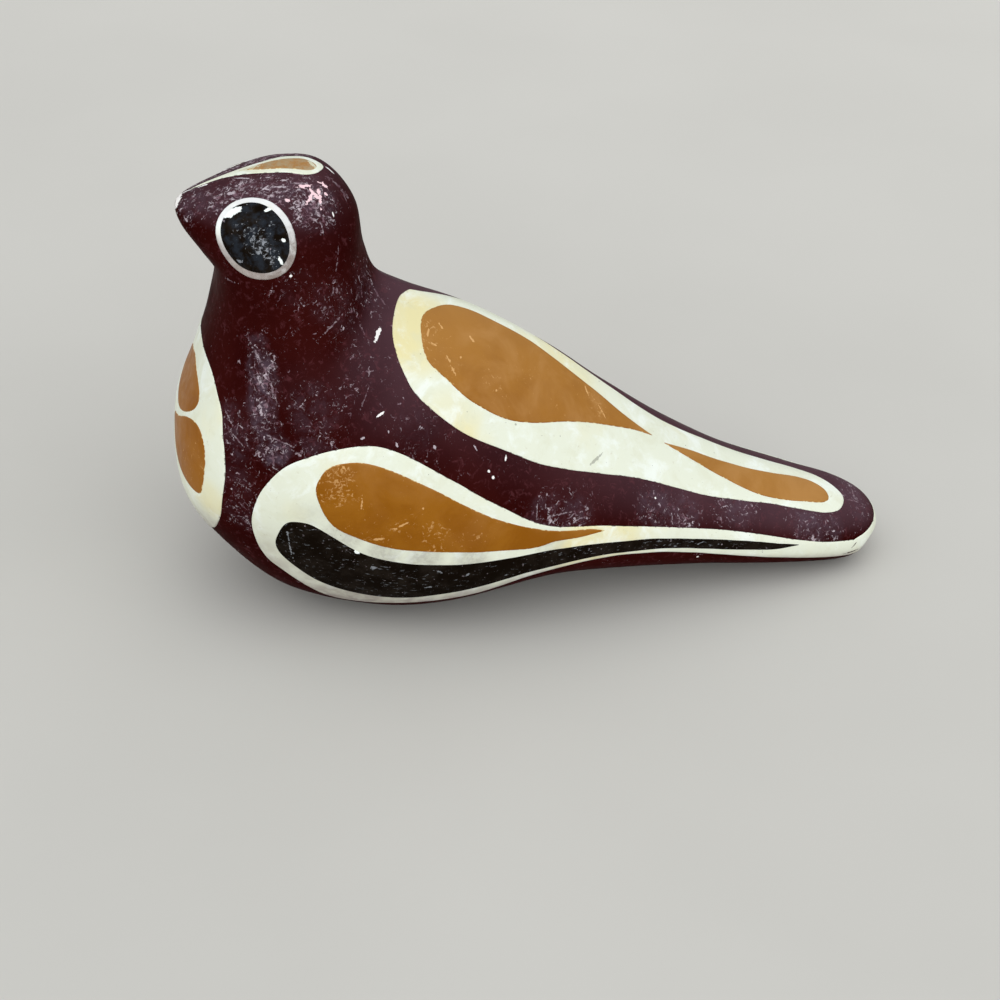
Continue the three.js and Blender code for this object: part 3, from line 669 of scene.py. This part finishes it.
OCHRE_MARKS = [
    (9.32, 26, 9.35, 29.5, 0.23), (9.45, 22, 9.53, 23.5, 0.23), (9.45, 31.5, 9.55, 31.5, 0.21),
    (9.73, 33.5, 9.83, 35.5, 0.25), (9.83, 36, 9.96, 38.5, 0.25), (9.97, 22.5, 10.03, 23.5, 0.29),
    (9.93, 32, 9.93, 32, 0.21), (10.54, 37, 10.54, 37, 0.23), (11.6, 16, 11.69, 20, 0.23),
    (11.86, 22, 11.98, 25.5, 0.21), (10.55, 95, 10.62, 92.5, 0.27), (10.58, 88, 10.64, 87, 0.23),
    (10.01, 85, 10.11, 87.5, 0.21), (10.63, 86.5, 10.66, 84, 0.19), (10.66, 78, 10.66, 78, 0.27),
    (9.45, 81, 9.5, 81, 0.21),
]
TAIL_DASHES = [(15.95, 96, 16.09, 86, 0.12), (15.82, 105.5, 16.24, 104, 0.28)]
CROWN_SMEARS = [(2.5, -12, 2.95, -10, 0.8), (4.45, -4, 4.58, 4, 0.4)]
CREAM_MARKS = [(12.02, 45, 12.09, 40, 0.32), (10.95, 44, 10.95, 44, 0.25)]
WING_BLACK_MARKS = [
    (10.89, 105, 10.89, 105, 0.46), (11.43, 96.5, 11.47, 96.5, 0.21), (11.73, 95.5, 11.73, 93.5, 0.25),
    (11.57, 106.5, 11.61, 105.5, 0.21), (9.89, 115.5, 10.2, 122, 0.15),
]
WING_BLACK_CHIPS = [(10.57, 102.5, 10.6, 102.5, 0.36)]
PUPIL_MARKS = [(3.04, 99, 3.12, 98, 0.21), (2.69, 40.5, 2.69, 40.5, 0.19)]
PUPIL_CHIPS = [
    (2.22, 51.5, 2.46, 46, 0.95), (3.3, 46, 3.43, 44.5, 0.42), (4.235, 65, 4.235, 65, 0.42),
    (4.39, 76.5, 4.63, 78.5, 0.32),
]
MARK_DEPTH = 0.6  # how far a mark reaches through the slip and the clay
MARK_STEPS = (0.1, 2)  # sections and degrees to each side, for the slope of the clay under a mark
MARK_EDGE = (1.05, 0.85)  # shares of a mark's size between which it fades in

# Finish of the surfaces, with the depth of their fine relief
CLAY_GLOSS = 0.008
SLIP_GLOSS = 0.1
BLACK_GLOSS = 0.03
FLOOR_GLOSS = 0.2
RELIEF = 0.03
OCHRE_RELIEF = 0.025
FLOOR_RELIEF = 0.01
FLOOR_ROUGHNESS = 0.8
DARK_IOR = 1.2  # the dark clay and slip mirror little, even at a slant
HEAD_RISE = (68, 82)  # heights between which the dust with painted sheen, and the haze with painted sheen, thin to their share on the head
HEAD_DUST_AND_SHEEN = 0.5
CROWN_SHEEN = 0.65  # painted sheen on the crown's ochre
CREAM_UNSHADED_FROM = -0.1  # how far the surface has to face up to be free of grime and painted shade
EYE_UNSHADED_FROM = 0.6

# Black slip: stretch of its streaks along x, y and z, the level that they start at and its clouding
PUPIL_LOOK = ((1.3, 1.3, 1.3), 0.68, 0.6)
WING_LOOK = ((0.5, 2.0, 2.0), 0.6, 0.0)


def maroon_clay():
    """Burnished clay: dust and painted sheen on what faces up, haze with painted sheen and flecks where
    it is worn, scratches and chips.
    """
    finish = Finish("maroon_clay")
    wear = finish.value("wear")
    tone = finish.noise(0.06, 4.0, 0.55)
    colour = finish.mix(finish.ramp(tone, 0.35, 0.65), MAROON_DEEP, MAROON)
    # Dust and painted sheen: the clay is painted lighter where it faces up, less so on the head
    height = finish.add("ShaderNodeSeparateXYZ", {0: finish.place}).outputs["Z"]
    below_head = finish.ramp(height, *HEAD_RISE, 1.0, HEAD_DUST_AND_SHEEN)
    dust_and_sheen = finish.math("MULTIPLY", finish.ramp(finish.facing_up(), 0.3, 0.95), below_head)
    colour = finish.lay(colour, DUST_AND_SHEEN, dust_and_sheen, finish.ramp(tone, 0.3, 0.7, 0.38, 0.48))
    faint = finish.noise(0.7, 5.0, 0.7, finish.shifted(9, 2, 6), 0.8)
    colour = finish.lay(colour, RED_FLECK, finish.flecks(faint, 0.53, 0.16), 0.25)
    # Haze in the worn zones, partly a painted sheen
    cloud = finish.ramp(finish.noise(0.4, 6.0, 0.7, distortion=0.6), 0.38, 0.66, 0.1, 1.0)
    haze_and_sheen = finish.math("MULTIPLY", finish.ramp(wear, 0.3, 1.0), cloud)
    colour = finish.lay(colour, HAZE_AND_SHEEN, finish.math("MULTIPLY", haze_and_sheen, below_head), 0.32)
    crowded = finish.ramp(finish.noise(0.2, 3.0, 0.6, finish.shifted(7, 4, 2)), 0.42, 0.66, 0.0, 0.06)
    start = finish.math("SUBTRACT", finish.lowered(0.665, wear, 0.14), crowded)
    flecks = finish.flecks(finish.noise(1.1, 5.0, 0.68, distortion=1.0), start, 0.1)
    upright = finish.noise(1.0, 4.0, 0.6, finish.stretched((2.0, 2.0, 0.6), (3, 1, 7)), 0.6)
    rubs = finish.flecks(upright, finish.lowered(0.74, wear, 0.13))
    scuffs = finish.math("MAXIMUM", flecks, finish.math("MULTIPLY", rubs, 0.8))
    strength = finish.ramp(finish.noise(0.7, 3.0), 0.38, 0.62)
    strength = finish.math("MULTIPLY", strength, finish.ramp(wear, 0.0, 0.8, 0.45, 1.0))
    faded = finish.mix(strength, SCUFF_DIM, SCUFF)
    colour = finish.lay(colour, faded, scuffs, 0.72)
    colour = finish.lay(colour, faded, finish.marks(SCRATCHES, 1.8), 0.42)
    colour = finish.lay(colour, SCUFF, finish.marks(PALE_FLECKS, 0.7), 0.65)
    colour = finish.lay(colour, PINK, finish.marks(PINK_CHIPS, 0.9))
    chips = finish.math("MAXIMUM", finish.marks(CHIPS, 0.45), finish.marks(BEAK_CHIPS, 0.6))
    colour = finish.lay(colour, CHIP, chips)
    satin = finish.ramp(finish.noise(0.5, 3.0), 0.3, 0.7, 0.32, 0.42)
    roughness = finish.math("ADD", satin, finish.math("MULTIPLY", scuffs, 0.25))
    bump = finish.lowered(finish.noise(0.8, 4.0, 0.6), scuffs, 0.5)
    return finish.surface(colour, roughness, bump, RELIEF, CLAY_GLOSS, DARK_IOR)


def cream_slip(name, base, unshaded_from):
    """Pale slip, with grime and painted shade where it faces down further than its unshaded level."""
    finish = Finish(name)
    wear = finish.value("wear")
    patchy = finish.ramp(finish.noise(0.08, 3.0), 0.4, 0.75, -0.2, 0.3)
    warm = finish.math("ADD", finish.value("warm"), patchy)
    colour = finish.mix(finish.ramp(warm, 0.0, 1.0), base, CREAM_WARM)
    dull = finish.noise(0.2, 5.0, 0.65, finish.shifted(6, 3, 8), 0.4)
    colour = finish.mix(finish.ramp(dull, 0.48, 0.7, 0.0, 0.4), colour, CREAM_DULL)
    light = finish.noise(0.18, 5.0, 0.65, distortion=0.5)
    colour = finish.mix(finish.ramp(light, 0.48, 0.7, 0.0, 0.6), colour, CREAM_LIGHT)
    stain = finish.flecks(finish.noise(0.9, 5.0, 0.65), 0.62, 0.12)
    colour = finish.lay(colour, CREAM_STAIN, stain, 0.4)
    mottled = finish.ramp(finish.noise(0.6, 5.0, 0.7, distortion=0.5), 0.36, 0.62, 0.5, 1.0)
    # Darker and mottled in the listed zones
    colour = finish.lay(colour, DARK_PATCH, finish.value("dark_patch"), mottled)
    # Grime and painted shade: the slip is darker where it faces down
    grime_and_shade = finish.ramp(finish.facing_up(), unshaded_from, unshaded_from - 0.6)
    colour = finish.lay(colour, GRIME_AND_SHADE, grime_and_shade, finish.ramp(finish.noise(0.3, 4.0), 0.3, 0.7, 0.4, 0.9))
    colour = finish.lay(colour, MAROON, finish.marks(TAIL_DASHES, 0.5))
    colour = finish.lay(colour, SMUDGE, finish.marks(CREAM_MARKS, 0.6), 0.7)
    uneven = finish.ramp(finish.noise(0.9, 3.0), 0.35, 0.7, 0.0, 0.6)
    worn = finish.ramp(finish.math("ADD", finish.value("rim"), uneven), 0.22, 0.05)
    colour = finish.lay(colour, MAROON, worn, 0.7)
    specks = finish.flecks(finish.noise(1.6, 2.0, 0.5), 0.75, 0.03)
    colour = finish.lay(colour, MAROON, specks, 0.6)
    roughness = finish.ramp(finish.noise(0.6, 3.0), 0.3, 0.7, 0.36, 0.5)
    bump = finish.math("ADD", finish.noise(1.1, 4.0, 0.6), finish.math("MULTIPLY", wear, 0.1))
    return finish.surface(colour, roughness, bump, RELIEF, SLIP_GLOSS)


def ochre_slip(name, sheen_share, smears):
    """Ochre slip, painted lighter where it faces up as sheen, with patches of painted sheen, flecks in
    its worn zones and smears of pale slip.
    """
    finish = Finish(name)
    up = finish.facing_up()
    tone = finish.noise(0.09, 4.0, 0.6, distortion=0.4)
    colour = finish.mix(finish.ramp(tone, 0.35, 0.6), OCHRE_DEEP, OCHRE)
    # Pale patches, stronger where the slip faces up: partly painted sheen
    pale = finish.ramp(finish.noise(0.08, 4.0, 0.6, finish.shifted(5, 9, 2), 0.6), 0.42, 0.66)
    colour = finish.lay(colour, OCHRE_PALE_SHEEN, pale, finish.ramp(up, 0.0, 0.7, 0.1, 0.75))
    # Painted light: the ochre is lighter where it faces up
    colour = finish.mix(finish.ramp(up, 0.3, 0.95, 0.0, 0.45), colour, OCHRE_LIT)
    # Patches of painted sheen, at the share that the finish is given
    sheen_patches = finish.ramp(finish.noise(0.6, 5.0, 0.7), 0.35, 0.65, 0.1, 1.3)
    colour = finish.lay(colour, OCHRE_SHEEN, sheen_patches, sheen_share)
    patches = finish.ramp(finish.noise(0.11, 2.0, 0.5, finish.shifted(2, 6, 1)), 0.46, 0.7, 0.0, 0.08)
    start = finish.lowered(finish.math("SUBTRACT", 0.69, patches), finish.value("wear"), 0.12)
    flecks = finish.flecks(finish.noise(1.2, 4.0, 0.66, distortion=0.8), start, 0.1)
    flecks = finish.math("MULTIPLY", flecks, 0.7)
    flecks = finish.math("MAXIMUM", flecks, finish.marks(OCHRE_MARKS, 0.8))
    colour = finish.lay(colour, OCHRE_FLECK, flecks, 0.65)
    colour = finish.lay(colour, CREAM_DULL, finish.marks(smears, 0.8), 0.85)
    uneven = finish.ramp(finish.noise(1.2, 3.0), 0.35, 0.7, 0.0, 0.5)
    worn = finish.ramp(finish.math("ADD", finish.value("rim"), uneven), 0.25, 0.05)
    colour = finish.lay(colour, CREAM_WARM, worn, 0.8)
    roughness = finish.ramp(finish.noise(0.5, 3.0), 0.3, 0.7, 0.32, 0.44)
    return finish.surface(colour, roughness, finish.noise(1.0, 4.0, 0.6), OCHRE_RELIEF, SLIP_GLOSS)


def black_slip(name, marks, chips, stretch, base_scuff, cloudy):
    """Black slip with pale streaks that start at a level which wear lowers, marks and chips."""
    finish = Finish(name)
    wear = finish.value("wear")
    colour = finish.mix(finish.ramp(finish.noise(0.25, 4.0, 0.6), 0.4, 0.7), BLACK, BLACK_GREY)
    cloud = finish.ramp(finish.noise(0.4, 5.0, 0.65, finish.shifted(2, 5, 9)), 0.4, 0.62)
    colour = finish.lay(colour, PUPIL_HAZE, cloud, cloudy)
    streaks = finish.noise(1.0, 5.0, 0.65, finish.stretched(stretch, (4, 2, 8)), 0.5)
    scuffs = finish.flecks(streaks, finish.lowered(base_scuff, wear, 0.21), 0.13)
    scratched = finish.math("MULTIPLY", finish.marks(marks, 1.4), 0.45)
    scuffs = finish.math("MAXIMUM", finish.math("MULTIPLY", scuffs, 0.55), scratched)
    colour = finish.lay(colour, BLACK_SCUFF, scuffs)
    specks = finish.flecks(finish.noise(1.4, 3.0, 0.6, finish.shifted(8, 3, 5)), 0.67, 0.06)
    colour = finish.lay(colour, SCUFF, specks, 0.35)
    colour = finish.lay(colour, CREAM_LIGHT, finish.marks(chips, 0.35))
    roughness = finish.ramp(finish.noise(0.6, 3.0), 0.3, 0.7, 0.34, 0.46)
    bump = finish.noise(1.0, 4.0, 0.6)
    return finish.surface(colour, roughness, bump, RELIEF, BLACK_GLOSS, DARK_IOR)


def pale_floor():
    """A plain floor of one pale tone, hardly uneven."""
    finish = Finish("pale_floor")
    shade = finish.ramp(finish.noise(0.01, 3.0), 0.3, 0.7)
    colour = finish.mix(shade, FLOOR, FLOOR_SHADE)
    return finish.surface(colour, FLOOR_ROUGHNESS, finish.noise(0.3, 2.0), FLOOR_RELIEF, FLOOR_GLOSS)


# Bird
body, clay_tree = make_body(maroon_clay())
CREAM_FINISH = cream_slip("cream_slip", CREAM, CREAM_UNSHADED_FROM)
EYE_WHITE_FINISH = cream_slip("eye_white_slip", EYE_WHITE, EYE_UNSHADED_FROM)
OCHRE_FINISH = ochre_slip("ochre_slip", 0.0, [])
CROWN_OCHRE_FINISH = ochre_slip("crown_ochre_slip", CROWN_SHEEN, CROWN_SMEARS)
PUPIL_FINISH = black_slip("pupil_black_slip", PUPIL_MARKS, PUPIL_CHIPS, *PUPIL_LOOK)
WING_BLACK_FINISH = black_slip("wing_black_slip", WING_BLACK_MARKS, WING_BLACK_CHIPS, *WING_LOOK)
PALE = (0.0, PALE_TOP)
COLOUR = (PALE_TOP, COLOUR_TOP)
TAIL = (0.0, TAIL_TOP)

PAIRS = [
    ("upper_wing_cream", UPPER_WING, UPPER_FROM, PALE, "cream_slip", CREAM_FINISH),
    ("upper_wing_ochre_front", UPPER_FRONT, UPPER_FROM, COLOUR, "ochre_slip", OCHRE_FINISH),
    ("upper_wing_ochre_rear", UPPER_REAR, UPPER_FROM, COLOUR, "ochre_slip", OCHRE_FINISH),
    ("lower_wing_cream", LOWER_WING, LOWER_FROM, PALE, "cream_slip", CREAM_FINISH),
    ("lower_wing_ochre", LOWER_OCHRE, LOWER_FROM, COLOUR, "ochre_slip", OCHRE_FINISH),
    ("lower_wing_black", LOWER_BLACK, LOWER_FROM, COLOUR, "black_slip", WING_BLACK_FINISH),
]
SINGLES = [
    ("crown_cream", CROWN, CROWN_FROM, PALE, "cream_slip", CREAM_FINISH),
    ("crown_ochre", CROWN_OCHRE, CROWN_FROM, COLOUR, "ochre_slip", CROWN_OCHRE_FINISH),
    ("breast_cream", BREAST, BREAST_FROM, PALE, "cream_slip", CREAM_FINISH),
    ("breast_ochre_upper", BREAST_UPPER, BREAST_FROM, COLOUR, "ochre_slip", OCHRE_FINISH),
    ("breast_ochre_lower", BREAST_LOWER, BREAST_FROM, COLOUR, "ochre_slip", OCHRE_FINISH),
    ("tail_band_cream", TAIL_BAND, TAIL_FROM, TAIL, "cream_slip", CREAM_FINISH),
]
EYES = [
    ("eye_white", 0.0, PALE, "cream_slip", EYE_WHITE_FINISH),
    ("eye_pupil", EYE_RIM, COLOUR, "black_slip", PUPIL_FINISH),
]
SIDE_NAMES = {1: "left", -1: "right"}

seed = 0
for name, runs, direction, (base, top), slot, material in SINGLES:
    seed += 1
    points = outline_points(runs, 1)
    lay_slip(clay_tree, name + "_coat", name, points, direction, base, top, material, seed)
for side, side_name in SIDE_NAMES.items():
    for name, runs, direction, (base, top), slot, material in PAIRS:
        seed += 1
        node = f"{name}_{side_name}"
        mirrored = (direction[0], side * direction[1], direction[2])
        slims = side < 0 and name.startswith("upper_wing")
        points = outline_points(slimmer(runs) if slims else runs, side)
        lay_slip(clay_tree, node + "_coat", node, points, mirrored, base, top, material, seed)
    for name, inset, (base, top), slot, material in EYES:
        seed += 1
        node = f"{name}_{side_name}"
        points, facing = eye_outline(inset, side)
        lay_slip(clay_tree, node + "_coat", node, points, facing, base, top, material, seed)

# Floor
FLOOR_REACH = 3.0
floor_mesh = bpy.data.meshes.new("floor")
corners = [(x * FLOOR_REACH, y * FLOOR_REACH, 0) for x, y in ((-1, -1), (1, -1), (1, 1), (-1, 1))]
floor_mesh.from_pydata(corners, [], [(0, 1, 2, 3)])
floor_mesh.materials.append(pale_floor())
floor = bpy.data.objects.new("floor", floor_mesh)
bpy.context.scene.collection.objects.link(floor)

# Light: a soft sky, brightest over the camera's left shoulder, and one large soft panel as
# (place, aim, size, power), in metres and watts
SKY = (0.94, 0.97, 1.0, 1.0)
BRIGHT_TOWARD = (-0.2, -0.88, 0.43)
SKY_SPREAD = (-0.4, 1.0)  # cosines from that direction between which the sky brightens
SKY_STRENGTHS = (0.42, 1.7)
PANELS = [
    ("sky_panel", (0.35, 0.6, 0.55), (0.0, 0.0, 0.04), 0.6, 0.8),
]
world = bpy.data.worlds.new("studio")
world.use_nodes = True
sky_nodes = world.node_tree.nodes
sky_links = world.node_tree.links
background = sky_nodes["Background"]
background.inputs["Color"].default_value = SKY
sky_place = sky_nodes.new("ShaderNodeTexCoord")
sky_dot = sky_nodes.new("ShaderNodeVectorMath")
sky_dot.operation = "DOT_PRODUCT"
sky_dot.inputs[1].default_value = BRIGHT_TOWARD
sky_range = sky_nodes.new("ShaderNodeMapRange")
sky_range.interpolation_type = "SMOOTHSTEP"
sky_range.inputs["From Min"].default_value = SKY_SPREAD[0]
sky_range.inputs["From Max"].default_value = SKY_SPREAD[1]
sky_range.inputs["To Min"].default_value = SKY_STRENGTHS[0]
sky_range.inputs["To Max"].default_value = SKY_STRENGTHS[1]
sky_links.new(sky_place.outputs["Generated"], sky_dot.inputs[0])
sky_links.new(sky_dot.outputs["Value"], sky_range.inputs["Value"])
sky_links.new(sky_range.outputs[0], background.inputs["Strength"])
bpy.context.scene.world = world
for name, place, aim, size, power in PANELS:
    lamp = bpy.data.lights.new(name, "AREA")
    lamp.size = size
    lamp.energy = power
    panel = bpy.data.objects.new(name, lamp)
    panel.location = place
    panel.rotation_euler = (Vector(aim) - Vector(place)).to_track_quat("-Z", "Y").to_euler()
    bpy.context.scene.collection.objects.link(panel)

# Camera at the photograph's angle
CAMERA_AT = (-96.8, -417.7, 298.4)
YAW = math.radians(12)
PITCH = math.radians(33.5)
ROLL = math.radians(4)
LENS = 86.4
SENSOR = 36
ahead = Vector((math.sin(YAW) * math.cos(PITCH), math.cos(YAW) * math.cos(PITCH), -math.sin(PITCH)))
level = Vector((math.cos(YAW), -math.sin(YAW), 0))
rise = level.cross(ahead)
right = level * math.cos(ROLL) + rise * math.sin(ROLL)
up = rise * math.cos(ROLL) - level * math.sin(ROLL)
lens = bpy.data.cameras.new("camera")
lens.lens = LENS
lens.sensor_width = SENSOR
lens.sensor_fit = "HORIZONTAL"
camera = bpy.data.objects.new("camera", lens)
turn = Matrix((right, up, -ahead)).transposed().to_4x4()
camera.matrix_world = Matrix.Translation(Vector(CAMERA_AT) * MM) @ turn
bpy.context.scene.collection.objects.link(camera)
bpy.context.scene.camera = camera

bpy.context.scene.view_settings.view_transform = "Standard"
